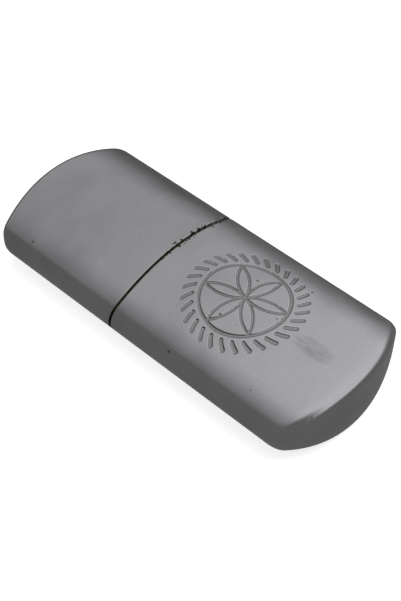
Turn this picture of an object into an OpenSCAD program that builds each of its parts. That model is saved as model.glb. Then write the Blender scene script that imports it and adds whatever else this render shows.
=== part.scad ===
// Oval pocket petrol lighter with a pull-off cap, lying on its back.
//
// Every piece is drawn standing up, with X across the width, Y through the thickness towards the
// front, Z towards the cap, and the origin at the middle of the closed lighter. lay_down() then
// puts it in the lighter's own frame: the base end towards +X, the cap end towards -X, the front
// face up, and the flat on the back resting on z = 0. Sizes are in millimetres.

/* [Outside] */
// Height of the closed lighter, from the base end to the cap end
body_h = 68.4; // [66:0.2:72]
// Width across the two narrow sides
body_w = 30; // [29:0.5:32]
// Thickness from front to back, before the resting flat is taken off
body_t = 11.6; // [11.4:0.1:12.4]
// Radius of the narrow sides of the oval section
side_r = 3; // [2.6:0.1:3.2]
// Radius of the arched end of the cap, seen from the front
cap_arch_r = 48; // [40:1:56]
// Radius of the arched base end, seen from the front
base_arch_r = 27.8; // [25:0.2:32]
// Radius of the four corners, seen from the front
corner_r = 3.4; // [2.5:0.1:4]
// Rounding of the edges around both ends
edge_r = 1.35; // [0.8:0.05:1.6]
// Depth of the flat taken off the back so that the lighter lies still
flat_depth = 0.08; // [0.04:0.02:0.12]

/* [Walls and fits] */
// Sheet thickness of the case and the cap
case_wall = 0.5; // [0.4:0.05:0.6]
// Sheet thickness of the fuel tank
tank_wall = 0.4; // [0.3:0.05:0.5]
// Sliding gap between the tank and the case or cap
slide_gap = 0.12; // [0.08:0.01:0.2]
// Gap between pieces that are pressed or soldered together
press_gap = 0.01; // [0.005:0.005:0.02]
// Radial clearance of the wheel on its axle
running_gap = 0.04; // [0.02:0.01:0.08]

/* [Seam] */
// Height of the seam between case and cap, above the middle of the lighter
seam_z = 4.9; // [3:0.1:7]
// Thickness of the stop ring that the seam closes on
ring_t = 0.3; // [0.1:0.05:0.4]
// Gap between the stop ring and each rim
rim_gap = 0.02; // [0.01:0.01:0.05]
// How far the stop ring sits back from the outer surface
ring_inset = 0.3; // [0.25:0.05:0.35]

/* [Insert] */
// Height of the tank's collar above the seam
collar_h = 6.1; // [5.8:0.1:8]
// Thickness of the deck that closes the tank
deck_t = 0.5; // [0.3:0.1:0.6]
// Thickness of the felt pad that closes the tank's lower end
felt_t = 3; // [2:0.5:3.5]
// Number of cotton wads packed into the tank
wad_count = 4; // [2:1:6]
// Radius of the wick
wick_r = 1.25; // [1:0.05:1.3]
// Distance of the wick from the middle, towards the rounded end of the windscreen
wick_x = -3.5; // [-4.5:0.5:-3]

/* [Windscreen] */
// Half the outer thickness of the windscreen
screen_y = 3.3; // [3.2:0.05:3.4]
// Sheet thickness of the windscreen
screen_wall = 0.4; // [0.3:0.05:0.4]
// Height of the windscreen above the deck
screen_h = 13.6; // [12:0.2:15]
// Radius of the draught holes
draught_r = 1; // [0.7:0.1:1.1]

/* [Spark wheel and flint] */
// Distance of the wheel's axle from the middle, away from the wick
wheel_x = 5.6; // [5.4:0.1:5.8]
// Height of the wheel's axle above the deck
wheel_h = 7.7; // [7.4:0.1:8]
// Radius of the abrasive wheel over its teeth
wheel_r = 3.05; // [2.9:0.05:3.2]
// Radius of the two thumb discs over their teeth
disc_r = 3.75; // [3.5:0.05:3.8]
// Radius of the axle
axle_r = 0.8; // [0.6:0.05:0.9]
// Radius of the flint
flint_r = 1.2; // [1:0.05:1.25]
// Length of the flint
flint_l = 5; // [4:0.5:6]
// Number of turns of the flint spring
spring_turns = 16; // [12:1:20]

/* [Hidden] */
$fn = 48;
// Cuts run this far past the surface that they open
over = 1;

// The oval section: two narrow side arcs and two wide crown arcs that meet tangentially
side_x = body_w/2 - side_r;
crown_r = (side_x*side_x + body_t*body_t/4 - side_r*side_r)/(body_t - 2*side_r);
crown_y = crown_r - body_t/2;
join_a = atan2(crown_y, side_x);
arc_steps = 16;

// Insets of the nested ovals from the outer surface
tank_inset = case_wall + slide_gap;
fill_inset = tank_inset + tank_wall + press_gap;
wad_slack = 0.1;

// Heights, standing
ring_z = seam_z - ring_t/2;
case_rim_z = ring_z - rim_gap;
cap_rim_z = ring_z + ring_t + rim_gap;
collar_z = seam_z + collar_h;
deck_z = collar_z - 1.1;
screen_z = deck_z + deck_t + press_gap;
tank_z = -body_h/2 + 6.7;
felt_z = tank_z + felt_t;
axle_z = screen_z + wheel_h;
wick_top_z = screen_z + 7;

// The flint runs under the wheel in its tube, with its spring and screw below it
tube_bore_r = flint_r + 0.1;
tube_r = tube_bore_r + 0.45;
tube_top_z = axle_z - disc_r - 0.45;
flint_top_z = axle_z - wheel_r - 0.05;
flint_z = flint_top_z - flint_l;
tip_l = 2.3;
tip_z = flint_z - 0.05 - tip_l;
tip_pin_r = 0.6;
tip_pin_l = 1.5;
screw_head_r = 2.3;
screw_head_t = 0.9;
screw_gap = 0.05;
screw_shank_r = 1.2;
screw_shank_l = 2.95;
slot_w = 0.6;
slot_depth = 0.5;
wire_r = 0.18;
coil_r = 0.9;
spring_bottom_z = tank_z - screw_gap + screw_shank_l + wire_r + 0.05;
spring_top_z = tip_z - wire_r - 0.05;
coil_steps = 8;
wire_sides = 6;

// The windscreen's plan, the wheel's stack and the rivets
screen_end_x = wick_x - 2.2;
cheek_x = wheel_x + 3;
tower_x = wheel_x - 4;
cheek_top_z = axle_z + 1.8;
cheek_in_y = screen_y - screen_wall;
abrasive_y = 1.5;
disc_gap = 0.02;
disc_t = 0.9;
washer_r = 1.5;
washer_t = 0.3;
washer_y = cheek_in_y - 0.08 - washer_t;
axle_head_r = 1.4;
axle_head_t = 0.4;
wheel_teeth = 40;
disc_teeth = 22;
tab_x = 1;
tab_w = 3;
tab_y = 4.35;
rivet_y = 3.85;
rivet_r = 0.4;
rivet_head_r = 0.45;
rivet_head_t = 0.15;
hole_pitch = 2.6;
ferrule_r = wick_r + 0.4;
ferrule_bore_r = wick_r + 0.05;
ferrule_flange_r = ferrule_r + 0.7;
ferrule_flange_t = 0.35;

// Points of an arc about [cx, cy], from angle a0 up to but not including a1
function arc(cx, cy, r, a0, a1, n = arc_steps) = [
    for (i = [0:n - 1]) [cx + r*cos(a0 + (a1 - a0)*i/n), cy + r*sin(a0 + (a1 - a0)*i/n)]
];

// The oval section, set in from the outer surface
function oval(inset) = concat(
    arc(side_x, 0, side_r - inset, -join_a, join_a),
    arc(0, -crown_y, crown_r - inset, join_a, 180 - join_a),
    arc(-side_x, 0, side_r - inset, 180 - join_a, 180 + join_a),
    arc(0, crown_y, crown_r - inset, 180 + join_a, 360 - join_a)
);

// One arched end with its two corners, from the right side over to the left side
function arched_end(half_w, top, arch_r, corner) =
    let (arch_z = top - arch_r)
    let (cx = half_w - corner)
    let (cz = arch_z + sqrt(pow(arch_r - corner, 2) - cx*cx))
    let (a = atan2(cz - arch_z, cx))
    concat(
        arc(cx, cz, corner, 0, a, 6),
        arc(0, arch_z, arch_r, a, 180 - a),
        arc(-cx, cz, corner, 180 - a, 180, 6),
        [[-half_w, cz]]
    );

// The front view of the closed lighter, with its sides and its ends set in
function front_view(side_in, end_in) =
    let (half_w = body_w/2 - side_in)
    let (top = body_h/2 - end_in)
    let (corner = corner_r - end_in)
    let (lower = arched_end(half_w, top, base_arch_r - end_in, corner))
    concat(
        arched_end(half_w, top, cap_arch_r - end_in, corner),
        [for (p = lower) -p]
    );

// A toothed rim: pairs of points, out and in by turns
function toothed(r, depth, teeth) = [
    for (i = [0:2*teeth - 1])
        let (rim = i % 2 == 0 ? r : r - depth)
        [rim*cos(180*i/teeth), rim*sin(180*i/teeth)]
];

module lay_down() {
    translate([0, 0, body_t/2 - flat_depth]) rotate([90, 0, -90]) children();
}

// The whole closed pocket shape, set in from the outer surface, with rounded end edges
module pocket_shape(inset, round_r) {
    hull() {
        for (a = [0, 45, 90]) {
            side_in = inset + round_r*(1 - cos(a));
            end_in = inset + round_r*(1 - sin(a));
            intersection() {
                linear_extrude(height = body_h + 2*over, center = true) polygon(oval(side_in));
                rotate([90, 0, 0]) linear_extrude(height = body_t + 2*over, center = true)
                    polygon(front_view(side_in, end_in));
            }
        }
    }
}

// Everything below the height z, or everything above it
module below(z) {
    translate([-body_w, -body_t, z - body_h]) cube([2*body_w, 2*body_t, body_h]);
}

module above(z) {
    translate([-body_w, -body_t, z]) cube([2*body_w, 2*body_t, body_h]);
}

// What is taken off the back to leave the narrow flat that the lighter rests on
module back_cut() {
    translate([-body_w, -body_t/2 + flat_depth - body_t, -body_h])
        cube([2*body_w, body_t, 2*body_h]);
}

// An upright prism of the oval section, between the heights z0 and z1
module oval_prism(inset, z0, z1) {
    translate([0, 0, z0]) linear_extrude(height = z1 - z0) polygon(oval(inset));
}

// A round bar along Z at the distance x from the middle
module bar(x, r, z0, z1) {
    translate([x, 0, z0]) cylinder(r = r, h = z1 - z0);
}

// A round bar along Y about the wheel's axle, between y0 and y1
module axle_bar(r, y0, y1) {
    translate([wheel_x, y1, axle_z]) rotate([90, 0, 0]) cylinder(r = r, h = y1 - y0);
}

// A toothed wheel on the axle, between y0 and y1
module toothed_wheel(r, depth, teeth, y0, y1) {
    difference() {
        translate([wheel_x, y1, axle_z]) rotate([90, 0, 0])
            linear_extrude(height = y1 - y0) polygon(toothed(r, depth, teeth));
        axle_bar(axle_r + running_gap, y0 - over, y1 + over);
    }
}

module case_body() {
    color([0.72, 0.72, 0.74]) lay_down() difference() {
        intersection() {
            pocket_shape(0, edge_r);
            below(case_rim_z);
        }
        pocket_shape(case_wall, edge_r - case_wall);
        back_cut();
    }
}

module cap_shell() {
    color([0.66, 0.65, 0.68]) lay_down() difference() {
        intersection() {
            pocket_shape(0, edge_r);
            above(cap_rim_z);
        }
        pocket_shape(case_wall, edge_r - case_wall);
        back_cut();
    }
}

// The tank is a drawn sleeve that slides in the case; its upper end is the cap's collar
module insert_tank() {
    color([0.6, 0.6, 0.6]) lay_down() difference() {
        oval_prism(tank_inset, tank_z, collar_z);
        oval_prism(tank_inset + tank_wall, tank_z - over, collar_z + over);
    }
}

// A brass ring soldered around the tank stops it on the case's rim
module stop_ring() {
    color([0.62, 0.55, 0.36]) lay_down() difference() {
        oval_prism(ring_inset, ring_z, ring_z + ring_t);
        oval_prism(tank_inset - press_gap, ring_z - over, ring_z + ring_t + over);
    }
}

module deck_plate() {
    color([0.55, 0.55, 0.56]) lay_down() difference() {
        oval_prism(fill_inset, deck_z, deck_z + deck_t);
        bar(wheel_x, tube_r + press_gap, deck_z - over, deck_z + deck_t + over);
        bar(wick_x, ferrule_r + press_gap, deck_z - over, deck_z + deck_t + over);
        for (side = [-1, 1])
            translate([tab_x, side*rivet_y, deck_z - over])
                cylinder(r = rivet_r + press_gap, h = deck_t + 2*over);
    }
}

// The U-shaped plan of the windscreen: one rounded end, and two straight cheeks
module screen_plan() {
    outer = arc(screen_end_x, 0, screen_y, 90, 270);
    inner = arc(screen_end_x, 0, cheek_in_y, 270, 90);
    polygon(concat(
        [[cheek_x, screen_y]],
        outer,
        [[screen_end_x, -screen_y], [cheek_x, -screen_y], [cheek_x, -cheek_in_y]],
        inner,
        [[screen_end_x, cheek_in_y], [cheek_x, cheek_in_y]]
    ));
}

// The draught holes go through both sides, in rows of three, two and three
module draught_holes() {
    mid_z = screen_z + screen_h/2 + 0.6;
    for (row = [-1:1]) {
        count = row == 0 ? 2 : 3;
        for (i = [0:count - 1])
            translate([wick_x + 0.6 + (i - (count - 1)/2)*hole_pitch, 0, mid_z + row*hole_pitch])
                rotate([90, 0, 0]) cylinder(r = draught_r, h = 2*body_t, center = true);
    }
}

module windscreen() {
    color([0.6, 0.6, 0.6]) lay_down() {
        difference() {
            translate([0, 0, screen_z]) linear_extrude(height = screen_h) screen_plan();
            draught_holes();
            translate([tower_x, -body_t, cheek_top_z]) cube([body_w, 2*body_t, body_h]);
            axle_bar(axle_r + press_gap, -body_t, body_t);
        }
        for (side = [-1, 1])
            difference() {
                translate([tab_x - tab_w/2, side > 0 ? screen_y : -tab_y, screen_z])
                    cube([tab_w, tab_y - screen_y, screen_wall]);
                translate([tab_x, side*rivet_y, screen_z - over])
                    cylinder(r = rivet_r + press_gap, h = screen_wall + 2*over);
            }
    }
}

// One rivet on each side holds the windscreen's foot to the deck
module windscreen_rivets() {
    color([0.7, 0.68, 0.62]) lay_down()
        for (side = [-1, 1])
            translate([tab_x, side*rivet_y, 0]) {
                bar(0, rivet_r, deck_z, screen_z + screen_wall + press_gap);
                bar(0, rivet_head_r, screen_z + screen_wall + press_gap,
                    screen_z + screen_wall + press_gap + rivet_head_t);
            }
}

module flint_tube() {
    color([0.72, 0.6, 0.35]) lay_down() difference() {
        bar(wheel_x, tube_r, tank_z, tube_top_z);
        bar(wheel_x, tube_bore_r, tank_z - over, tube_top_z + over);
    }
}

// A flanged eyelet in the deck holds the wick upright
module wick_ferrule() {
    color([0.72, 0.6, 0.35]) lay_down() difference() {
        union() {
            bar(wick_x, ferrule_r, deck_z, screen_z + 1.6);
            bar(wick_x, ferrule_flange_r, screen_z, screen_z + ferrule_flange_t);
        }
        bar(wick_x, ferrule_bore_r, deck_z - over, screen_z + 1.6 + over);
    }
}

module wick() {
    color([0.85, 0.8, 0.68]) lay_down() bar(wick_x, wick_r, felt_z + 0.5, wick_top_z);
}

// Cotton wads fill the tank around the wick and the flint tube
module cotton_wads() {
    low = felt_z + wad_slack;
    step = (deck_z - wad_slack - low)/wad_count;
    color([0.93, 0.92, 0.88]) lay_down()
        for (i = [0:wad_count - 1])
            difference() {
                oval_prism(fill_inset + wad_slack, low + i*step, low + (i + 1)*step - wad_slack);
                bar(wheel_x, tube_r + wad_slack, tank_z, collar_z);
                bar(wick_x, wick_r + 0.05, tank_z, collar_z);
            }
}

module felt_pad() {
    color([0.88, 0.87, 0.82]) lay_down() difference() {
        oval_prism(fill_inset, tank_z, felt_z);
        bar(wheel_x, tube_r + press_gap, tank_z - over, felt_z + over);
    }
}

module spark_wheel() {
    color([0.35, 0.35, 0.36]) lay_down()
        toothed_wheel(wheel_r, 0.2, wheel_teeth, -abrasive_y, abrasive_y);
}

// The two thumb discs stand proud of the abrasive wheel on either side
module thumb_disc(side) {
    inner_y = abrasive_y + disc_gap;
    y0 = side > 0 ? inner_y : -inner_y - disc_t;
    color([0.62, 0.62, 0.64]) lay_down()
        toothed_wheel(disc_r, 0.4, disc_teeth, y0, y0 + disc_t);
}

module thumb_disc_front() {
    thumb_disc(1);
}

module thumb_disc_back() {
    thumb_disc(-1);
}

// The axle is a rivet, headed outside both cheeks of the windscreen
module wheel_axle() {
    end_y = screen_y + press_gap;
    color([0.7, 0.7, 0.7]) lay_down() {
        axle_bar(axle_r, -end_y, end_y);
        axle_bar(axle_head_r, end_y, end_y + axle_head_t);
        axle_bar(axle_head_r, -end_y - axle_head_t, -end_y);
    }
}

module axle_washers() {
    color([0.72, 0.6, 0.35]) lay_down()
        for (y0 = [washer_y, -washer_y - washer_t])
            difference() {
                axle_bar(washer_r, y0, y0 + washer_t);
                axle_bar(axle_r + press_gap, y0 - over, y0 + washer_t + over);
            }
}

module flint() {
    color([0.3, 0.3, 0.32]) lay_down() bar(wheel_x, flint_r, flint_z, flint_top_z);
}

// The spring's tip carries the flint; its pin stands in the end of the coil
module spring_tip() {
    color([0.72, 0.6, 0.35]) lay_down() {
        bar(wheel_x, flint_r - 0.05, tip_z, tip_z + tip_l);
        bar(wheel_x, tip_pin_r, tip_z - tip_pin_l, tip_z);
    }
}

// A coil of round wire: rings of points along a helix, joined into one closed skin
module flint_spring() {
    rings = spring_turns*coil_steps;
    rise = (spring_top_z - spring_bottom_z)/rings;
    points = [
        for (i = [0:rings])
            let (a = 360*i/coil_steps)
            for (j = [0:wire_sides - 1])
                let (b = 360*j/wire_sides)
                let (r = coil_r + wire_r*cos(b))
                [wheel_x + r*cos(a), r*sin(a), spring_bottom_z + rise*i + wire_r*sin(b)]
    ];
    skin = [
        for (i = [0:rings - 1])
            for (j = [0:wire_sides - 1])
                let (low = i*wire_sides + j)
                let (low_next = i*wire_sides + (j + 1) % wire_sides)
                each [
                    [low, low_next, low_next + wire_sides],
                    [low, low_next + wire_sides, low + wire_sides]
                ]
    ];
    low_end = [for (j = [wire_sides - 1:-1:0]) j];
    high_end = [for (j = [0:wire_sides - 1]) rings*wire_sides + j];
    color([0.55, 0.55, 0.57]) lay_down()
        polyhedron(points = points, faces = concat(skin, [low_end, high_end]));
}

// The slotted screw closes the tube from below and presses on the spring
module flint_screw() {
    head_z = tank_z - screw_gap - screw_head_t;
    color([0.75, 0.65, 0.4]) lay_down() difference() {
        union() {
            bar(wheel_x, screw_head_r, head_z, head_z + screw_head_t);
            bar(wheel_x, screw_shank_r, head_z + screw_head_t, head_z + screw_head_t + screw_shank_l);
        }
        translate([wheel_x - screw_head_r - over, -slot_w/2, head_z - over])
            cube([2*screw_head_r + 2*over, slot_w, over + slot_depth]);
    }
}

case_body();
cap_shell();
insert_tank();
stop_ring();
deck_plate();
windscreen();
windscreen_rivets();
flint_tube();
wick_ferrule();
wick();
cotton_wads();
felt_pad();
spark_wheel();
thumb_disc_front();
thumb_disc_back();
wheel_axle();
axle_washers();
flint();
spring_tip();
flint_spring();
flint_screw();
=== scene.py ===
"""Looks of the oval pocket petrol lighter: worn nickel-plated shells, an engraved badge, and a fuel insert.

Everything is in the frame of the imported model: the base end towards +X, the cap towards -X, the engraved
front up. Shapes are worked out in millimetres and turned into metres when a mesh is made.
"""

import math

import bmesh
import bpy
import numpy as np
from mathutils import Matrix, Vector


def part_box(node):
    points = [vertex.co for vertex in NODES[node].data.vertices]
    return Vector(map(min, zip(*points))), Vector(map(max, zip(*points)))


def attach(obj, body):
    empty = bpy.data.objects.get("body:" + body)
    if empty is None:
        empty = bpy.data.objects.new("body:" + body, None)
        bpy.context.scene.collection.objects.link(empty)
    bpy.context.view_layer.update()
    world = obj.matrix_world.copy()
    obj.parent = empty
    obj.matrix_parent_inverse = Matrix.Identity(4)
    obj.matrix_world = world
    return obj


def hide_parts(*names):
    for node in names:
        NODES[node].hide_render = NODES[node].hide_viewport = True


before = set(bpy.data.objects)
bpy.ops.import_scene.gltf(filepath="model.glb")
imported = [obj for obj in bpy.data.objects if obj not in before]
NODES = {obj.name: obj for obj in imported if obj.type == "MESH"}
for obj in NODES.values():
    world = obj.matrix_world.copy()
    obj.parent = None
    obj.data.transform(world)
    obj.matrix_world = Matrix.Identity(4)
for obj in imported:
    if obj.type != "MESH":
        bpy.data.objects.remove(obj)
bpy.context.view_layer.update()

MM = 0.001

# ---------------------------------------------------------------------------------------------
# Sizes, in millimetres, from the frame's own boxes
# ---------------------------------------------------------------------------------------------


def box_mm(node):
    """The two corners of a CAD node's box, in millimetres."""
    low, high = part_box(node)
    return np.array(low) / MM, np.array(high) / MM


CASE_LOW, CASE_HIGH = box_mm("case_body")
CAP_LOW, CAP_HIGH = box_mm("cap_shell")
TANK_LOW, TANK_HIGH = box_mm("insert_tank")
FLAT_DEPTH = 0.08
SIDE_R = 3.0
WALL = 0.5
LIP = 0.06
EDGE_R = 1.35
CORNER_R = 3.4
BASE_ARCH_R = 27.8
CAP_ARCH_R = 48.0
HALF_W = (CASE_HIGH[1] - CASE_LOW[1]) / 2
HALF_T = (CASE_HIGH[2] - CASE_LOW[2] + FLAT_DEPTH) / 2
MID_Z = HALF_T - FLAT_DEPTH
SIDE_Y = HALF_W - SIDE_R
CROWN_R = (SIDE_Y**2 + HALF_T**2 - SIDE_R**2) / (2 * (HALF_T - SIDE_R))
CROWN_Z = CROWN_R - HALF_T
JOIN = math.atan2(SIDE_Y, CROWN_Z)

# ---------------------------------------------------------------------------------------------
# Mesh helpers
# ---------------------------------------------------------------------------------------------


def spaced(low, high, step):
    """Evenly spaced values from low to high, about step apart."""
    return np.linspace(low, high, max(2, int(round(abs(high - low) / step)) + 1))


def mesh_piece(name, points_mm, faces, body, slot, material, merge_mm=0.0005):
    """A new smooth piece from points in millimetres, riding on a body."""
    mesh = bpy.data.meshes.new(name)
    mesh.from_pydata((np.asarray(points_mm) * MM).tolist(), [], faces)
    piece = bpy.data.objects.new(name, mesh)
    bpy.context.scene.collection.objects.link(piece)
    tidy = bmesh.new()
    tidy.from_mesh(mesh)
    bmesh.ops.remove_doubles(tidy, verts=tidy.verts, dist=merge_mm * MM)
    bmesh.ops.dissolve_degenerate(tidy, edges=tidy.edges, dist=merge_mm * MM)
    bmesh.ops.recalc_face_normals(tidy, faces=tidy.faces)
    tidy.to_mesh(mesh)
    tidy.free()
    mesh.shade_smooth()
    mesh.materials.append(material)
    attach(piece, body)
    return piece


def grid_faces(rows, cols, offset=0, close=False):
    """Quads of a grid of points; close joins the last column to the first."""
    row, col = np.meshgrid(np.arange(rows - 1), np.arange(cols if close else cols - 1), indexing="ij")
    a = offset + row * cols + col
    b = offset + row * cols + (col + 1) % cols
    return np.stack([a, b, b + cols, a + cols], -1).reshape(-1, 4)


# ---------------------------------------------------------------------------------------------
# The pocket shape: an oval section, with arched ends seen from the front
# ---------------------------------------------------------------------------------------------


def oval(lean, inset):
    """Y and height over the middle plane, where the surface leans by an angle from +Z towards +Y."""
    lean = np.asarray(lean, float)
    crown = np.abs(lean) <= JOIN
    radius = np.where(crown, CROWN_R, SIDE_R) - inset
    y = np.where(crown, 0, np.sign(lean) * SIDE_Y) + radius * np.sin(lean)
    z = np.where(crown, -CROWN_Z, 0) + radius * np.cos(lean)
    return y, z


def end_x(y, inset, length, arch_r):
    """How far an end reaches along the lighter at each y, with the outline set in."""
    half_w, tip = HALF_W - inset, length - inset
    arch, corner = arch_r - inset, CORNER_R - inset
    corner_y = half_w - corner
    corner_x = tip - arch + math.sqrt((arch - corner) ** 2 - corner_y**2)
    turn_y = corner_y * arch / (arch - corner)
    y = np.minimum(np.abs(y), half_w)
    on_arch = tip - arch + np.sqrt(np.maximum(arch**2 - y**2, 0))
    on_corner = corner_x + np.sqrt(np.maximum(corner**2 - np.maximum(y - corner_y, 0) ** 2, 0))
    return np.where(y < turn_y, on_arch, on_corner)


# Columns of the shells' grids: over each side, and from there to the first of the fine ones
SIDE_LEANS = 15
ROUGH_LEANS = 5
FIRST_FINE = SIDE_LEANS + ROUGH_LEANS - 1


def leans(fine_y, cells):
    """The section's lean angles from one side to the other, with even cells where |y| is under fine_y."""
    fine = math.asin(fine_y / CROWN_R)
    side = np.linspace(-math.pi / 2, -JOIN, SIDE_LEANS)
    rough = np.linspace(-JOIN, -fine, ROUGH_LEANS + 1)[1:]
    middle = np.linspace(-fine, fine, cells + 1)[1:-1]
    return np.concatenate([side, rough, middle, -rough[::-1], -side[::-1]])


def end_rows(lean, inset, edge_r, length, arch_r):
    """Rows over an end's rounded edge and down its wall to the middle plane, as (x, y, z) arrays."""
    y, z = oval(lean, inset)
    tip = end_x(y, inset, length, arch_r)
    bend = np.minimum(edge_r, z)
    rows = []
    for turn in np.linspace(0, math.pi / 2, 11):
        rows.append((tip - bend * (1 - math.sin(turn)), y, z - bend * (1 - math.cos(turn))))
    for share in np.linspace(1, 0, 7)[1:]:
        rows.append((tip, y, (z - bend) * share))
    return rows


def shell_half(sign, up, length, arch_r, rim, lean, stations):
    """The front (up is 1) or back (-1) of a shell as a grid of points, and its first station's row."""
    y, z = oval(lean, 0)
    wall = end_rows(lean, 0, EDGE_R, length, arch_r)
    rows = wall[::-1]
    for share in np.linspace(0, 1, 10)[1:-1]:
        rows.append((wall[0][0] + (stations[0] - wall[0][0]) * share, y, z))
    first = len(rows)
    rows += [(np.full_like(y, x), y, z) for x in stations]
    mouth = rim(y) * sign
    for share in (0.25, 0.5, 0.75):
        rows.append((stations[-1] + (mouth + 0.1 - stations[-1]) * share, y, z))
    for dx, inset in ((LIP, 0), (LIP * 0.3, LIP * 0.3), (0, LIP), (0, WALL - 0.04), (0.06, WALL)):
        rows.append((mouth + dx, *oval(lean, inset)))
    wall = end_rows(lean, WALL, EDGE_R - WALL, length, arch_r)
    y, z = oval(lean, WALL)
    for share in np.linspace(0, 1, 12)[1:-1]:
        rows.append((mouth + (wall[0][0] - mouth) * share, y, z))
    rows += wall[::2]
    grid = np.array([[x * sign, y, z * up] for x, y, z in rows]).transpose(0, 2, 1)
    grid[:, :, 2] = np.maximum(grid[:, :, 2], FLAT_DEPTH - HALF_T) + MID_Z
    return grid, first


def refine(quads, cols, row0, col0, cells, split, offset):
    """Swaps a square block of a grid's cells for a finer grid whose points start at offset. The cells
    around the block take in the finer grid's border points, so that the surface stays closed."""
    size = cells * split + 1
    index = offset + np.arange(size * size).reshape(size, size)
    kept = []
    for a, b, c, d in quads:
        row, col = a // cols - row0, a % cols - col0
        in_rows, in_cols = 0 <= row < cells, 0 <= col < cells
        along_row = slice(row * split, (row + 1) * split + 1)
        along_col = slice(col * split, (col + 1) * split + 1)
        if in_rows and in_cols:
            continue
        if in_cols and row == -1:
            kept.append([a, b, *index[0, along_col][::-1]])
        elif in_cols and row == cells:
            kept.append([*index[-1, along_col], c, d])
        elif in_rows and col == -1:
            kept.append([a, *index[along_row, 0], d])
        elif in_rows and col == cells:
            kept.append([*index[along_row, -1][::-1], b, c])
        else:
            kept.append([a, b, c, d])
    return kept + grid_faces(size, size, offset=offset).tolist()


def engraved_block(stations, lean, cells, split, depth):
    """Points of the finer block that starts at the first station, pressed in by depth(x, y)."""
    size = cells * split + 1
    x, tilt = np.meshgrid(
        np.linspace(stations[0], stations[cells], size),
        np.linspace(lean[FIRST_FINE], lean[FIRST_FINE + cells], size), indexing="ij",
    )
    y, z = oval(tilt, 0)
    sunk = depth(x, y)
    return np.stack([x, y - sunk * np.sin(tilt), z - sunk * np.cos(tilt) + MID_Z], -1).reshape(-1, 3)


# ---------------------------------------------------------------------------------------------
# The engraved badge: a ring, a six-petalled rosette drawn with compasses, and a border of dashes
# ---------------------------------------------------------------------------------------------

BADGE_X = 10.7
RING_R = 7.35
RING_W = 0.5
LINE_W = 0.42
BORDER_IN, BORDER_OUT = 8.35, 10.15
ENGRAVE_DEPTH = 0.13
EDGE_SLOPE = 0.11
BADGE_CELLS = 20
BADGE_SPLIT = 12
DASH_COUNT = 30
DASH_W = 0.62
DASH_SLANT = math.radians(32)
PETAL_COUNT = 6
PETAL_TURN = 15


def groove(distance, width):
    """The share of full depth at a distance from a line's middle."""
    edge = np.clip((width / 2 - distance) / EDGE_SLOPE + 0.5, 0, 1)
    return edge * edge * (3 - 2 * edge)


def badge_depth(x, y):
    """How deep the badge is engraved at a point of the front."""
    dx, dy = x - BADGE_X, y
    radius = np.hypot(dx, dy)
    turn = np.arctan2(dy, dx)
    depth = groove(np.abs(radius - RING_R), RING_W)
    petals = np.full_like(radius, 9.0)
    reach = RING_R - RING_W / 2
    for k in range(PETAL_COUNT):
        a = math.radians(360 / PETAL_COUNT * k + PETAL_TURN)
        from_centre = np.hypot(dx - reach * math.cos(a), dy - reach * math.sin(a))
        petals = np.minimum(petals, np.abs(from_centre - reach))
    depth = np.maximum(depth, np.where(radius < reach, groove(petals, LINE_W), 0))
    middle = (BORDER_IN + BORDER_OUT) / 2
    step = 2 * math.pi / DASH_COUNT
    along = (turn - np.round(turn / step) * step) * middle
    out = radius - middle
    across = along * math.cos(DASH_SLANT) - out * math.sin(DASH_SLANT)
    reach_out = along * math.sin(DASH_SLANT) + out * math.cos(DASH_SLANT)
    half = (BORDER_OUT - BORDER_IN) / 2
    capped = np.hypot(across, np.maximum(np.abs(reach_out) - half, 0))
    depth = np.maximum(depth, groove(capped, DASH_W))
    return ENGRAVE_DEPTH * depth


# ---------------------------------------------------------------------------------------------
# Material helpers. Textures run on object coordinates in millimetres.
# ---------------------------------------------------------------------------------------------


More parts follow.
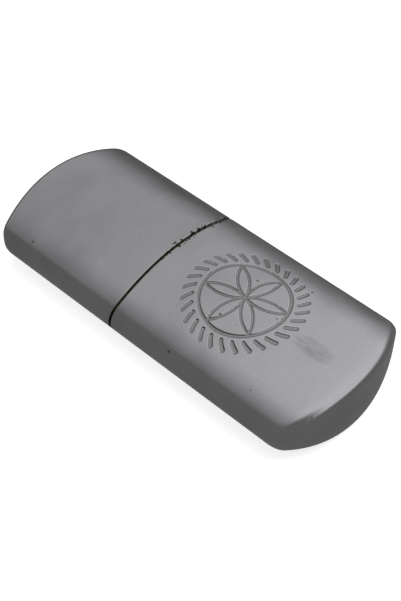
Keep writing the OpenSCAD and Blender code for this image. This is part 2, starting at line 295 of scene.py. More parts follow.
class Nodes:
    """A node tree with short calls for the nodes that the materials share."""

    def __init__(self, tree):
        self.tree = tree
        self.coordinates = None

    def new(self, kind, **settings):
        """A new node with its own properties set."""
        node = self.tree.nodes.new(kind)
        for key, value in settings.items():
            setattr(node, key, value)
        return node

    def put(self, socket, value):
        """Links an output to a socket, or sets the socket's own value."""
        if isinstance(value, bpy.types.NodeSocket):
            self.tree.links.new(value, socket)
        else:
            socket.default_value = value

    def mm(self, stretch=(1, 1, 1), turn=0):
        """Object coordinates in millimetres, stretched and turned about Z."""
        if self.coordinates is None:
            self.coordinates = self.new("ShaderNodeTexCoord").outputs["Object"]
        mapping = self.new("ShaderNodeMapping")
        self.put(mapping.inputs["Vector"], self.coordinates)
        mapping.inputs["Rotation"].default_value = (0, 0, math.radians(turn))
        mapping.inputs["Scale"].default_value = [s / MM for s in stretch]
        return mapping.outputs["Vector"]

    def noise(self, scale, detail=3, roughness=0.5, where=None):
        """Smooth noise from 0 to 1, with scale features to the millimetre."""
        node = self.new("ShaderNodeTexNoise")
        self.put(node.inputs["Vector"], where or self.mm())
        node.inputs["Scale"].default_value = scale
        node.inputs["Detail"].default_value = detail
        node.inputs["Roughness"].default_value = roughness
        return node.outputs["Fac"]

    def cells(self, scale, where=None):
        """Distance from the nearest of a scatter of points, and that point's random number."""
        node = self.new("ShaderNodeTexVoronoi")
        self.put(node.inputs["Vector"], where or self.mm())
        node.inputs["Scale"].default_value = scale
        pick = self.new("ShaderNodeSeparateColor")
        self.put(pick.inputs["Color"], node.outputs["Color"])
        return node.outputs["Distance"], pick.outputs["Red"]

    def span(self, value, low, high, to_low=0.0, to_high=1.0, smooth=True):
        """value taken from low..high to to_low..to_high, held at both ends."""
        node = self.new("ShaderNodeMapRange")
        node.interpolation_type = "SMOOTHSTEP" if smooth else "LINEAR"
        self.put(node.inputs["Value"], value)
        for name, number in (("From Min", low), ("From Max", high), ("To Min", to_low), ("To Max", to_high)):
            node.inputs[name].default_value = number
        return node.outputs["Result"]

    def sum(self, kind, first, second=0.0):
        """The result of one arithmetic operation of the given kind."""
        node = self.new("ShaderNodeMath", operation=kind)
        self.put(node.inputs[0], first)
        self.put(node.inputs[1], second)
        return node.outputs["Value"]

    def mix(self, share, first, second):
        """A colour between two colours."""
        node = self.new("ShaderNodeMix", data_type="RGBA")
        self.put(node.inputs["Factor"], share)
        for socket, colour in ((node.inputs["A"], first), (node.inputs["B"], second)):
            self.put(socket, colour if isinstance(colour, bpy.types.NodeSocket) else (*colour, 1))
        return node.outputs["Result"]

    def axes(self, vector):
        """A vector's three parts."""
        node = self.new("ShaderNodeSeparateXYZ")
        self.put(node.inputs["Vector"], vector)
        return node.outputs["X"], node.outputs["Y"], node.outputs["Z"]

    def bump(self, height, strength, depth_mm, normal=None):
        """A normal tilted by a height, on top of another bump's normal where one is given."""
        node = self.new("ShaderNodeBump")
        self.put(node.inputs["Height"], height)
        node.inputs["Strength"].default_value = strength
        node.inputs["Distance"].default_value = depth_mm * MM
        if normal is not None:
            self.put(node.inputs["Normal"], normal)
        return node.outputs["Normal"]


def new_material(name, metallic):
    """A material, its node helper and its shader."""
    material = bpy.data.materials.new(name)
    material.use_nodes = True
    nodes = Nodes(material.node_tree)
    shader = material.node_tree.nodes["Principled BSDF"]
    shader.inputs["Metallic"].default_value = metallic
    return material, nodes, shader


def hairlines(n, turn, spacing):
    """Sparse fine scratches running along one direction: thin where stretched noise passes its middle."""
    lines = n.noise(1.0, 2, 0.6, n.mm((0.05, 1 / spacing, 1 / spacing), turn))
    near_middle = n.sum("ABSOLUTE", n.sum("SUBTRACT", lines, 0.5))
    patches = n.span(n.noise(0.12, 2), 0.5, 0.62)
    return n.sum("MULTIPLY", n.span(near_middle, 0.0, 0.012, 1, 0), patches)


RUB_X, RUB_Y = 25.0, -0.8
RUB_STRETCH = (0.28, 0.6)


def rubbed_patch(n, x, y):
    """A short smear of fine scratches near the base end, strongest at its middle."""
    along = n.sum("MULTIPLY", n.sum("SUBTRACT", x, RUB_X), RUB_STRETCH[0])
    across = n.sum("MULTIPLY", n.sum("SUBTRACT", y, RUB_Y), RUB_STRETCH[1])
    out = n.sum("ADD", n.sum("POWER", along, 2.0), n.sum("POWER", across, 2.0))
    streaks = n.noise(1.0, 4, 0.7, n.mm((0.5, 6, 1), 12))
    return n.sum("MULTIPLY", n.span(out, 0.1, 1.6, 1, 0), n.span(streaks, 0.3, 0.7))


def plate_material(name, tone, rim_x):
    """Worn nickel plate: mirror-like but hazed, with hairlines, pits, smudges, and dirt with painted shade in
    the engraving.
    rim_x is where the rim at the seam lies: a dark band is painted along it as shade in the seam, and the
    plating is chipped away from the middle to the far side."""
    material, n, shader = new_material(name, 1.0)
    haze = n.noise(0.16, 4, 0.6)
    smudge = n.span(n.noise(0.07, 3, 0.6, n.mm((1, 0.5, 1), 35)), 0.42, 0.72)
    grain = n.noise(3.2, 4, 0.7)
    scratches = n.sum("MAXIMUM", hairlines(n, 12, 0.35), hairlines(n, 64, 0.3))
    scratches = n.sum("MAXIMUM", scratches, hairlines(n, -38, 0.4))
    distance, pick = n.cells(0.4)
    speck_size = n.span(pick, 0.7, 1.0, 0.045, 0.11)
    speck = n.span(n.sum("SUBTRACT", distance, speck_size), -0.03, 0.02, 1, 0)
    speck = n.sum("MULTIPLY", speck, n.span(pick, 0.7, 0.72))
    distance, pick = n.cells(0.9)
    pit = n.sum("MULTIPLY", n.span(distance, 0.04, 0.13, 1, 0), n.span(pick, 0.6, 0.65))

    dull = [c * 0.84 for c in tone]
    colour = n.mix(smudge, tone, dull)
    colour = n.mix(n.span(grain, 0.3, 0.75), colour, n.mix(0.12, colour, (0.25, 0.24, 0.23)))
    colour = n.mix(n.sum("MULTIPLY", speck, 0.75), colour, (0.13, 0.115, 0.09))
    colour = n.mix(n.sum("MULTIPLY", pit, 0.4), colour, (0.22, 0.21, 0.2))

    x, y, _ = n.axes(n.mm())
    worn_side = n.span(y, -5.0, 1.0)
    from_rim = n.sum("ABSOLUTE", n.sum("SUBTRACT", x, rim_x))
    ragged = n.noise(1.3, 4, 0.65)
    reach = n.sum("MULTIPLY", n.span(ragged, 0.47, 0.66, 0.0, 0.8), worn_side)
    chip = n.span(n.sum("SUBTRACT", from_rim, reach), -0.04, 0.02, 1, 0)
    chip = n.sum("MULTIPLY", chip, n.span(reach, 0.03, 0.08))
    # Painted shade: a dark band along the rim, standing in for the shade in the seam between cap and case.
    seam_shade = n.span(from_rim, 0.05, 0.16, 1, 0)
    colour = n.mix(seam_shade, colour, (0.1, 0.095, 0.08))
    # Dirt and painted shade in the engraving: darkest on the grooves' slopes, where relief would be shaded.
    dirt_and_shade = n.new("ShaderNodeAttribute", attribute_name="engraving_dirt_and_shade").outputs["Fac"]
    colour = n.mix(n.sum("MULTIPLY", dirt_and_shade, 0.95), colour, (0.03, 0.028, 0.026))
    colour = n.mix(chip, colour, (0.055, 0.05, 0.03))
    colour = n.mix(n.sum("MULTIPLY", rubbed_patch(n, x, y), 0.55), colour, (0.2, 0.2, 0.2))

    roughness = n.span(haze, 0.3, 0.75, 0.09, 0.17)
    roughness = n.sum("ADD", roughness, n.sum("MULTIPLY", smudge, 0.1))
    roughness = n.sum("ADD", roughness, n.sum("MULTIPLY", scratches, 0.12))
    roughness = n.sum("ADD", roughness, n.sum("MULTIPLY", n.sum("MAXIMUM", chip, speck), 0.35))
    dents = n.bump(n.noise(0.11, 1), 0.35, 0.25)
    fine = n.bump(grain, 0.08, 0.01, dents)
    cuts = n.bump(n.sum("MAXIMUM", n.sum("MAXIMUM", scratches, pit), chip), -0.35, 0.02, fine)
    n.put(shader.inputs["Base Color"], colour)
    n.put(shader.inputs["Roughness"], roughness)
    n.put(shader.inputs["Normal"], cuts)
    return material


def steel_material(name, tone, grain_turn, roughness=0.3):
    """Drawn sheet steel: a directional grain with stains."""
    material, n, shader = new_material(name, 1.0)
    grain = n.noise(1.0, 3, 0.6, n.mm((0.25, 14, 14), grain_turn))
    stain = n.span(n.noise(0.35, 4, 0.65), 0.48, 0.7)
    colour = n.mix(stain, tone, [c * 0.72 for c in tone])
    colour = n.mix(n.span(grain, 0.35, 0.7, 0, 0.35), colour, [c * 0.6 for c in tone])
    n.put(shader.inputs["Base Color"], colour)
    n.put(shader.inputs["Roughness"], n.span(grain, 0.2, 0.8, roughness - 0.06, roughness + 0.12))
    n.put(shader.inputs["Normal"], n.bump(grain, 0.25, 0.02))
    return material


def brass_material():
    """Tarnished brass, olive-brown where it has not been rubbed."""
    material, n, shader = new_material("tarnished_brass", 1.0)
    tarnish = n.span(n.noise(0.7, 5, 0.65), 0.35, 0.65)
    n.put(shader.inputs["Base Color"], n.mix(tarnish, (0.55, 0.45, 0.25), (0.2, 0.17, 0.09)))
    n.put(shader.inputs["Roughness"], n.span(tarnish, 0, 1, 0.3, 0.55))
    n.put(shader.inputs["Normal"], n.bump(n.noise(6, 3), 0.15, 0.02))
    return material


def wheel_material():
    """Hardened steel in random dark and bright patches of wear."""
    material, n, shader = new_material("file_cut_steel", 0.9)
    wear = n.span(n.noise(2.5, 4, 0.6), 0.4, 0.7)
    n.put(shader.inputs["Base Color"], n.mix(wear, (0.16, 0.16, 0.165), (0.36, 0.35, 0.35)))
    n.put(shader.inputs["Roughness"], n.span(wear, 0, 1, 0.5, 0.32))
    n.put(shader.inputs["Normal"], n.bump(n.noise(9, 3), 0.3, 0.03))
    return material


def flint_material():
    """Dull flint alloy with a dusting of its own powder."""
    material, n, shader = new_material("flint_alloy", 0.6)
    dust = n.span(n.noise(3, 5, 0.7), 0.4, 0.65)
    n.put(shader.inputs["Base Color"], n.mix(dust, (0.14, 0.13, 0.13), (0.3, 0.28, 0.27)))
    n.put(shader.inputs["Roughness"], n.span(dust, 0, 1, 0.55, 0.8))
    n.put(shader.inputs["Normal"], n.bump(n.noise(7, 4), 0.4, 0.04))
    return material


def fibre_material(name, tone, shade, strand_mm, char_x=None):
    """Loose fibre: fine strands with a fuzzy sheen. char_x is where a wick's burnt tip ends."""
    material, n, shader = new_material(name, 0.0)
    strands = n.noise(1.0, 5, 0.7, n.mm((1 / strand_mm, 0.3 / strand_mm, 1 / strand_mm), 30))
    colour = n.mix(n.span(strands, 0.35, 0.65), shade, tone)
    if char_x is not None:
        x, _, _ = n.axes(n.mm())
        edge = n.sum("ADD", x, n.span(strands, 0, 1, -0.6, 0.6))
        colour = n.mix(n.span(edge, char_x - 0.5, char_x + 1.2, 1, 0), colour, (0.035, 0.03, 0.028))
    n.put(shader.inputs["Base Color"], colour)
    shader.inputs["Roughness"].default_value = 0.9
    shader.inputs["Sheen Weight"].default_value = 0.35
    n.put(shader.inputs["Normal"], n.bump(strands, 0.6, 0.12))
    return material


CASE_RIM_X = CASE_LOW[0]
CAP_RIM_X = CAP_HIGH[0]
CASE_PLATE = plate_material("case_nickel", (0.64, 0.63, 0.655), CASE_RIM_X)
CAP_PLATE = plate_material("cap_nickel", (0.61, 0.6, 0.625), CAP_RIM_X)
STEEL = steel_material("insert_steel", (0.55, 0.54, 0.53), 0)
DISC_STEEL = steel_material("disc_steel", (0.56, 0.56, 0.57), 40, 0.34)
WIRE_STEEL = steel_material("wire_steel", (0.5, 0.5, 0.51), 90, 0.3)
BRASS = brass_material()
WHEEL_STEEL = wheel_material()
FLINT = flint_material()
COTTON = fibre_material("cotton_fibre", (0.9, 0.89, 0.85), (0.68, 0.66, 0.6), 0.25)
FELT = fibre_material("wool_felt", (0.82, 0.8, 0.74), (0.6, 0.57, 0.5), 0.12)

# ---------------------------------------------------------------------------------------------
# The two plated shells
# ---------------------------------------------------------------------------------------------

CASE_LENGTH = CASE_HIGH[0]
CAP_LENGTH = -CAP_LOW[0]


def straight_rim(y):
    """The case's mouth, square across."""
    return np.full_like(y, CASE_RIM_X)


def worn_rim(y):
    """The cap's mouth: it gapes a little towards the far side, where its edge is nibbled."""
    far = np.clip((y + 2) / (HALF_W + 2), 0, 1)
    gape = 0.36 * far**1.6
    nibble = np.sin(y * 5.3) * np.sin(y * 2.1 + 1) * np.sin(y * 9.7 + 2)
    return CAP_RIM_X - gape - 0.07 * far**0.5 * np.clip(nibble, 0, 1)


BADGE_HALF = BORDER_OUT + 0.45
case_lean = leans(BADGE_HALF, BADGE_CELLS)
case_stations = np.concatenate([
    np.linspace(BADGE_X + BADGE_HALF, BADGE_X - BADGE_HALF, BADGE_CELLS + 1),
    spaced(BADGE_X - BADGE_HALF, CASE_RIM_X + 0.8, 0.6)[1:],
])
front, first_row = shell_half(1, 1, CASE_LENGTH, BASE_ARCH_R, straight_rim, case_lean, case_stations)
back, _ = shell_half(1, -1, CASE_LENGTH, BASE_ARCH_R, straight_rim, case_lean, case_stations)
block = engraved_block(case_stations, case_lean, BADGE_CELLS, BADGE_SPLIT, badge_depth)
corners = front.shape[0] * front.shape[1]
case_faces = refine(
    grid_faces(*front.shape[:2]).tolist(), front.shape[1], first_row, FIRST_FINE,
    BADGE_CELLS, BADGE_SPLIT, 2 * corners,
)
case_faces += grid_faces(*back.shape[:2], offset=corners).tolist()
case_points = np.concatenate([front.reshape(-1, 3), back.reshape(-1, 3), block])
case_shell = mesh_piece("case_body_shell", case_points, case_faces, "case", "case_plate", CASE_PLATE)

# How dark each point of the engraving is painted, as dirt and painted shade: darkest on the grooves' slopes,
# less on their floors
vertices = np.empty(len(case_shell.data.vertices) * 3)
case_shell.data.vertices.foreach_get("co", vertices)
vertices = vertices.reshape(-1, 3) / MM
sunk = badge_depth(vertices[:, 0], vertices[:, 1]) / ENGRAVE_DEPTH
on_front = (vertices[:, 2] > MID_Z + 1.5) & (np.abs(vertices[:, 1]) < BADGE_HALF)
dirt_and_shade_share = np.minimum(1, 4 * sunk * (1 - sunk) + 0.4 * sunk)
dirt_and_shade = case_shell.data.attributes.new("engraving_dirt_and_shade", "FLOAT", "POINT")
dirt_and_shade.data.foreach_set("value", np.where(on_front, dirt_and_shade_share, 0))
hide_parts("case_body")

cap_lean = leans(12.0, 120)
cap_stations = spaced(27.0, -CAP_RIM_X + 0.8, 1.0)
front, _ = shell_half(-1, 1, CAP_LENGTH, CAP_ARCH_R, worn_rim, cap_lean, cap_stations)
back, _ = shell_half(-1, -1, CAP_LENGTH, CAP_ARCH_R, worn_rim, cap_lean, cap_stations)
cap_points = np.concatenate([front.reshape(-1, 3), back.reshape(-1, 3)])
cap_faces = grid_faces(*front.shape[:2]).tolist()
cap_faces += grid_faces(*back.shape[:2], offset=front.shape[0] * front.shape[1]).tolist()
cap_piece = mesh_piece("cap_plated_shell", cap_points, cap_faces, "cap", "cap_plate", CAP_PLATE)
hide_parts("cap_shell")

# ---------------------------------------------------------------------------------------------
# The fuel insert: CAD pieces with eased edges, and finer pieces where the CAD ones are plain
# ---------------------------------------------------------------------------------------------

TANK_INSET = HALF_W - TANK_HIGH[1]
TANK_WALL = 0.4


def oval_loop(inset):
    """A closed loop round the oval section, as y and z over the middle plane."""
    lean = np.concatenate([np.linspace(-math.pi / 2, -JOIN, 14), np.linspace(-JOIN, JOIN, 62)[1:-1],
                           np.linspace(JOIN, math.pi / 2, 14)])
    y, z = oval(lean, inset)
    return np.concatenate([y, y[::-1][1:-1]]), np.concatenate([z, -z[::-1][1:-1]])


def sleeve(name, profile, body, slot, material):
    """A closed profile of (x, inset) pairs swept round the oval section."""
    rows = []
    for x, inset in profile:
        y, z = oval_loop(inset)
        rows.append(np.stack([np.full_like(y, x), y, z + MID_Z], -1))
    points = np.array(rows + rows[:1])
    return mesh_piece(
        name, points.reshape(-1, 3), grid_faces(*points.shape[:2], close=True).tolist(), body, slot, material
    )


def wall_profile(x0, x1, outer, inner, ease, step=3.0):
    """The section of a thin wall from x0 to x1, between two insets, with eased edges."""
    outside = [(x, outer) for x in spaced(x0 + ease, x1 - ease, step)]
    inside = [(x, inner) for x in spaced(x1 - ease, x0 + ease, step)]
    return [(x0, outer + ease), *outside, (x1, outer + ease), (x1, inner - ease), *inside, (x0, inner - ease)]


def dress(node, material, bevel_mm=0.05):
    """A CAD piece with its edges eased and its own material."""
    piece = NODES[node]
    mesh = piece.data
    if "custom_normal" in mesh.attributes:
        mesh.attributes.remove(mesh.attributes["custom_normal"])
    mesh.shade_smooth()
    mesh.materials.clear()
    mesh.materials.append(material)
    weld = piece.modifiers.new("weld", "WELD")
    weld.merge_threshold = 0.001 * MM
    bevel = piece.modifiers.new("eased_edges", "BEVEL")
    bevel.width = bevel_mm * MM
    bevel.segments = 2
    bevel.limit_method = "ANGLE"
    bevel.angle_limit = math.radians(32)
    bevel.use_clamp_overlap = True
    piece.modifiers.new("even_shading", "WEIGHTED_NORMAL")


tank = sleeve(
    "tank_sleeve",
    wall_profile(TANK_LOW[0], TANK_HIGH[0], TANK_INSET, TANK_INSET + TANK_WALL, 0.08),
    "insert", "insert_steel", STEEL,
)
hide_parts("insert_tank")
RING_LOW, RING_HIGH = box_mm("stop_ring")
ring = sleeve(
    "soldered_stop_ring",
    wall_profile(RING_LOW[0], RING_HIGH[0], HALF_W - RING_HIGH[1], TANK_INSET, 0.04),
    "insert", "brass", BRASS,
)
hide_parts("stop_ring")

for node, material, bevel_mm in (
    ("deck_plate", STEEL, 0.04),
    ("windscreen", STEEL, 0.06),
    ("windscreen_rivets", STEEL, 0.05),
    ("flint_tube", BRASS, 0.06),
    ("wick_ferrule", BRASS, 0.1),
    ("thumb_disc_front", DISC_STEEL, 0.07),
    ("thumb_disc_back", DISC_STEEL, 0.07),
    ("wheel_axle", DISC_STEEL, 0.14),
    ("axle_washers", BRASS, 0.04),
    ("flint", FLINT, 0.08),
    ("spring_tip", BRASS, 0.12),
):
    dress(node, material, bevel_mm)

# The abrasive wheel: a cross-cut rim between two plain faces
WHEEL_LOW, WHEEL_HIGH = box_mm("spark_wheel")
WHEEL_C = (WHEEL_LOW + WHEEL_HIGH) / 2
WHEEL_R = (WHEEL_HIGH[0] - WHEEL_LOW[0]) / 2
WHEEL_BORE = 0.84
CUT_DEPTH = 0.16
CUTS = 30


def cut_rim(turn, along, half):
    """Radius of the cross-cut rim: two families of slanting file cuts."""
    slant = 0.22 * along
    first = np.abs(np.sin(CUTS * (turn + slant) / 2))
    second = np.abs(np.sin(CUTS * (turn - slant) / 2))
    edge = np.clip((half - np.abs(along)) / 0.15, 0, 1)
    return WHEEL_R - 0.12 * (1 - edge) - CUT_DEPTH * (1 - np.minimum(first, second) ** 0.6) * edge


half = (WHEEL_HIGH[2] - WHEEL_LOW[2]) / 2
turn = np.linspace(0, 2 * math.pi, 240, endpoint=False)
rows = [np.full_like(turn, WHEEL_BORE), np.full_like(turn, WHEEL_R * 0.6)]
alongs = [-half, -half]
for along in np.linspace(-half, half, 25):
    rows.append(cut_rim(turn, along, half))
    alongs.append(along)
rows += [np.full_like(turn, WHEEL_R * 0.6), np.full_like(turn, WHEEL_BORE), np.full_like(turn, WHEEL_BORE)]
alongs += [half, half, -half]
points = np.array([
    np.stack([r * np.cos(turn), r * np.sin(turn), np.full_like(turn, a)], -1) for r, a in zip(rows, alongs)
]) + WHEEL_C
wheel = mesh_piece(
    "cross_cut_wheel", points.reshape(-1, 3), grid_faces(*points.shape[:2], close=True).tolist(),
    "wheel", "wheel_steel", WHEEL_STEEL,
)
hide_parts("spark_wheel")

# The flint spring: round wire with closed end coils
SPRING_LOW, SPRING_HIGH = box_mm("flint_spring")
SPRING_C = (SPRING_LOW + SPRING_HIGH) / 2
WIRE_R = 0.18
COIL_R = (SPRING_HIGH[1] - SPRING_LOW[1]) / 2 - WIRE_R
SPRING_TURNS = 16
share = np.linspace(0, 1, SPRING_TURNS * 28 + 1)
closed = 1.6 / SPRING_TURNS
pitch = np.clip(np.minimum(share, 1 - share) / closed, 0.22, 1)
climb = np.concatenate([[0], np.cumsum((pitch[1:] + pitch[:-1]) / 2)])
climb = SPRING_LOW[0] + WIRE_R + climb / climb[-1] * (SPRING_HIGH[0] - SPRING_LOW[0] - 2 * WIRE_R)
turn = 2 * math.pi * SPRING_TURNS * share
line = np.stack([climb, SPRING_C[1] + COIL_R * np.cos(turn), SPRING_C[2] + COIL_R * np.sin(turn)], -1)


def swept_wire(line, radius, sides=12):
    """Points and faces of a round wire along a line of points, with flat ends."""
    ahead = np.gradient(line, axis=0)
    ahead /= np.linalg.norm(ahead, axis=1)[:, None]
    across = np.cross(ahead, (1.0, 0.0, 0.0))
    across /= np.linalg.norm(across, axis=1)[:, None]
    other = np.cross(ahead, across)
    round_turn = np.linspace(0, 2 * math.pi, sides, endpoint=False)
    rings = (
        line[:, None, :]
        + radius * np.cos(round_turn)[None, :, None] * across[:, None, :]
        + radius * np.sin(round_turn)[None, :, None] * other[:, None, :]
    )
    faces = grid_faces(len(line), sides, close=True).tolist()
    last = (len(line) - 1) * sides
    return rings.reshape(-1, 3), faces + [list(range(sides)), [last + k for k in range(sides)]]


spring = mesh_piece("coiled_flint_spring", *swept_wire(line, WIRE_R), "spring", "spring_steel", WIRE_STEEL)
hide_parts("flint_spring")

# The flint screw: a slotted, chamfered head and a threaded shank
SCREW_LOW, SCREW_HIGH = box_mm("flint_screw")
SCREW_C = (SCREW_LOW + SCREW_HIGH) / 2
HEAD_R = (SCREW_HIGH[1] - SCREW_LOW[1]) / 2
HEAD_T = 0.9
SHANK_R = 1.2
PITCH = 0.5
SLOT_W, SLOT_DEPTH = 0.6, 0.5
turn = np.linspace(0, 2 * math.pi, 64, endpoint=False)
tail = SCREW_LOW[0]
rows = [(0.001, tail), (SHANK_R - 0.35, tail), (SHANK_R - 0.2, tail + 0.12)]
points = [np.stack([np.full_like(turn, x), r * np.cos(turn), r * np.sin(turn)], -1) for r, x in rows]
neck = SCREW_HIGH[0] - HEAD_T
for x in spaced(tail + 0.25, neck - 0.3, PITCH / 10):
    wave = np.abs(((x / PITCH - turn / (2 * math.pi)) % 1) * 2 - 1)
    fade = np.clip(min(x - tail - 0.2, neck - 0.25 - x) / 0.3, 0, 1)
    r = SHANK_R - 0.16 * (1 - fade * wave)
    points.append(np.stack([np.full_like(turn, x), r * np.cos(turn), r * np.sin(turn)], -1))
top = SCREW_HIGH[0]
for r, x in ((SHANK_R - 0.16, neck), (HEAD_R - 0.08, neck), (HEAD_R, neck + 0.08), (HEAD_R, top - 0.2),
             (HEAD_R - 0.06, top - 0.08), (HEAD_R - 0.2, top), (HEAD_R * 0.5, top), (0.001, top)):
    points.append(np.stack([np.full_like(turn, x), r * np.cos(turn), r * np.sin(turn)], -1))
points = np.array(points)
points[:, :, 1] += SCREW_C[1]
points[:, :, 2] += SCREW_C[2]
screw = mesh_piece(
    "slotted_flint_screw", points.reshape(-1, 3), grid_faces(*points.shape[:2], close=True).tolist(),
    "screw", "brass", BRASS, merge_mm=0.003,
)


def cut_away(piece, cutter):
    """Cuts a cutter object out of a piece for good, and removes the cutter."""
    cut = piece.modifiers.new("cut", "BOOLEAN")
    cut.operation = "DIFFERENCE"
    cut.solver = "EXACT"
    cut.object = cutter
    graph = bpy.context.evaluated_depsgraph_get()
    solid = bpy.data.meshes.new_from_object(piece.evaluated_get(graph))
    piece.modifiers.clear()
    piece.data = solid
    bpy.data.objects.remove(cutter)


bpy.ops.mesh.primitive_cube_add(size=1)
slot_cutter = bpy.context.object
slot_cutter.matrix_world = Matrix.LocRotScale(
    Vector((top, SCREW_C[1], SCREW_C[2])) * MM, None, Vector((2 * SLOT_DEPTH, 2 * HEAD_R + 1, SLOT_W)) * MM
)
cut_away(screw, slot_cutter)
screw.data.set_sharp_from_angle(angle=math.radians(35))
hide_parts("flint_screw")

# The wick: braided strands, with a frayed and burnt tip
WICK_LOW, WICK_HIGH = box_mm("wick")
WICK_C = (WICK_LOW + WICK_HIGH) / 2
WICK_R = (WICK_HIGH[1] - WICK_LOW[1]) / 2
turn = np.linspace(0, 2 * math.pi, 48, endpoint=False)
points = []
for x in spaced(WICK_LOW[0], WICK_HIGH[0], 0.12):
    lay = 2 * math.pi * x / 3.2
    strands = np.maximum(np.abs(np.sin(3 * turn + lay)), np.abs(np.sin(3 * turn - lay)))
    fray = np.clip((WICK_LOW[0] + 1.2 - x) / 1.2, 0, 1)
    ragged = 0.1 * np.sin(9 * turn + 2) * np.sin(5 * turn + 9 * x)
    r = WICK_R * (0.86 + 0.14 * strands) * (1 - 0.28 * fray**2) + fray * ragged - 0.02
    r = np.minimum(r, WICK_R)
    tip = fray**2 * 0.35 * (1 + np.sin(7 * turn + 1)) * (x < WICK_LOW[0] + 0.5)
    points.append(np.stack([x + tip, WICK_C[1] + r * np.cos(turn), WICK_C[2] + r * np.sin(turn)], -1))
points = np.array(points)
faces = grid_faces(*points.shape[:2], close=True).tolist()
last = (len(points) - 1) * len(turn)
faces += [list(range(len(turn))), [last + k for k in range(len(turn))]]
WICK_COTTON = fibre_material(
    "wick_cotton", (0.78, 0.72, 0.6), (0.5, 0.44, 0.34), 0.3, char_x=WICK_LOW[0] + 0.6
)
wick = mesh_piece("braided_wick", points.reshape(-1, 3), faces, "insert", "wick_cotton", WICK_COTTON)
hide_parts("wick")


# Soft fillings: crowned oval pads with holes through them. The section's pairs are the share of the way
# along a pad and how far the edge pulls in there.
PAD_SECTION = ((0.0, 0.45), (0.12, 0.2), (0.35, 0.04), (0.65, 0.04), (0.88, 0.2), (1.0, 0.45))


def soft_pad(name, x0, x1, inset, holes, material, slot):
    """A crowned oval pad between x0 and x1 with round holes at (y, radius)."""
    points = []
    for share, pull in PAD_SECTION:
        y, z = oval_loop(inset + pull)
        points.append(np.stack([np.full_like(y, x0 + (x1 - x0) * share), y, z + MID_Z], -1))
    points = np.array(points)
    rows, count = points.shape[:2]
    faces = grid_faces(rows, count, close=True).tolist()
    faces += [list(range(count)), [(rows - 1) * count + k for k in range(count)]]
    pad = mesh_piece(name, points.reshape(-1, 3), faces, "insert", slot, material)
    lengthways = Matrix.Rotation(math.pi / 2, 4, "Y")
    for y, radius in holes:
        bpy.ops.mesh.primitive_cylinder_add(vertices=40, radius=radius * MM, depth=(x1 - x0 + 4) * MM)
        cutter = bpy.context.object
        cutter.matrix_world = Matrix.Translation(Vector(((x0 + x1) / 2, y, MID_Z)) * MM) @ lengthways
        cut_away(pad, cutter)
    return pad


FELT_LOW, FELT_HIGH = box_mm("felt_pad")
TUBE_LOW, TUBE_HIGH = box_mm("flint_tube")
TUBE_Y = (TUBE_LOW[1] + TUBE_HIGH[1]) / 2
TUBE_R = (TUBE_HIGH[1] - TUBE_LOW[1]) / 2
FILL_INSET = HALF_W - FELT_HIGH[1]
felt = soft_pad(
    "pressed_felt_pad", FELT_LOW[0], FELT_HIGH[0], FILL_INSET, [(TUBE_Y, TUBE_R + 0.05)], FELT, "felt"
)
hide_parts("felt_pad")
WAD_LOW, WAD_HIGH = box_mm("cotton_wads")
WAD_COUNT = 4
wad_step = (WAD_HIGH[0] - WAD_LOW[0]) / WAD_COUNT
for k in range(WAD_COUNT):
    wad = soft_pad(
        f"cotton_wad_{k + 1}", WAD_LOW[0] + k * wad_step, WAD_LOW[0] + (k + 1) * wad_step - 0.1,
        FILL_INSET + 0.1, [(TUBE_Y, TUBE_R + 0.1), (WICK_C[1], WICK_R + 0.05)], COTTON, "cotton",
    )
    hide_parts("cotton_wads")

# ---------------------------------------------------------------------------------------------
# Floor, light, and the camera
# ---------------------------------------------------------------------------------------------

scene = bpy.context.scene
scene.view_settings.view_transform = "Standard"


def floor_material():
    """Plain pale card, partly self-lit so that its shadow stays light."""
    material, _, shader = new_material("pale_card", 0.0)
    shader.inputs["Base Color"].default_value = (0.28, 0.28, 0.28, 1)
    shader.inputs["Roughness"].default_value = 0.9
    shader.inputs["Specular IOR Level"].default_value = 0.1
    shader.inputs["Emission Color"].default_value = (1, 1, 1, 1)
    shader.inputs["Emission Strength"].default_value = 0.78
    return material


bpy.ops.mesh.primitive_plane_add(size=6.0, location=(0, 0, -0.00001))
floor = bpy.context.object
floor.name = "floor"
floor.data.materials.append(floor_material())
floor.visible_glossy = False  # the plate mirrors the even grey of the world below instead


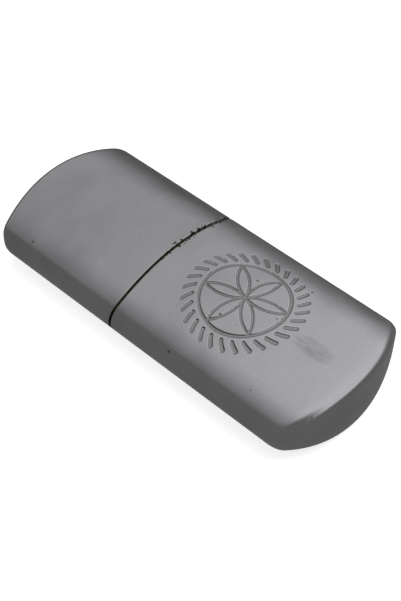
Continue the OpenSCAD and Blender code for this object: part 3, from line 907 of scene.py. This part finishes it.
def studio_world():
    """Plain soft studio light: an even grey below, brightening smoothly overhead and towards the base end,
    and dimmer on the side towards -Y."""
    world = bpy.data.worlds.new("studio")
    scene.world = world
    world.use_nodes = True
    n = Nodes(world.node_tree)
    background = world.node_tree.nodes["Background"]
    x, y, z = n.axes(n.new("ShaderNodeTexCoord").outputs["Generated"])
    overhead = n.sum("MULTIPLY", n.span(z, 0.0, 0.45, 0.12, 0.45), n.span(x, -0.55, -0.2, 0.95, 1.55))
    level = n.mix(n.span(y, -0.45, -0.1), (0.16, 0.16, 0.16), overhead)
    level = n.mix(n.span(z, -0.15, 0.05), (0.16, 0.16, 0.16), level)
    path = n.new("ShaderNodeLightPath")
    n.put(background.inputs["Color"], n.mix(path.outputs["Is Camera Ray"], level, (1.0, 1.0, 1.0)))


studio_world()


def area_light(name, place, size, watts, at=(0, 0, 0)):
    """A soft square light that lights the card and the cloth but makes no glint of its own."""
    light = bpy.data.lights.new(name, "AREA")
    light.shape = "SQUARE"
    light.size = size
    light.energy = watts
    lamp = bpy.data.objects.new(name, light)
    lamp.location = place
    lamp.rotation_euler = (Vector(at) - Vector(place)).to_track_quat("-Z", "Y").to_euler()
    lamp.visible_glossy = False
    scene.collection.objects.link(lamp)


area_light("overhead", (0.1, 0.15, 0.7), 0.7, 7.0)
area_light("fill", (-0.4, -0.4, 0.5), 0.6, 3.0)

CAMERA_AZIMUTH = math.radians(43.08)
CAMERA_ELEVATION = math.radians(49.69)
CAMERA_ROLL = math.radians(-0.67)
CAMERA_DISTANCE = 188.75
CAMERA_SHIFT = (0.84, -2.2)
back = Vector((
    math.sin(CAMERA_AZIMUTH) * math.cos(CAMERA_ELEVATION),
    -math.cos(CAMERA_AZIMUTH) * math.cos(CAMERA_ELEVATION),
    math.sin(CAMERA_ELEVATION),
))
level_right = Vector((math.cos(CAMERA_AZIMUTH), math.sin(CAMERA_AZIMUTH), 0))
level_up = back.cross(level_right)
right = math.cos(CAMERA_ROLL) * level_right + math.sin(CAMERA_ROLL) * level_up
up = back.cross(right)
place = (
    Vector((0, 0, MID_Z)) + CAMERA_DISTANCE * back + CAMERA_SHIFT[0] * right + CAMERA_SHIFT[1] * up
) * MM
camera = bpy.data.objects.new("camera", bpy.data.cameras.new("camera"))
camera.data.lens = 68.57
camera.data.clip_start = 0.01
camera.matrix_world = Matrix.Translation(place) @ Matrix((right, up, back)).transposed().to_4x4()
scene.collection.objects.link(camera)
scene.camera = camera
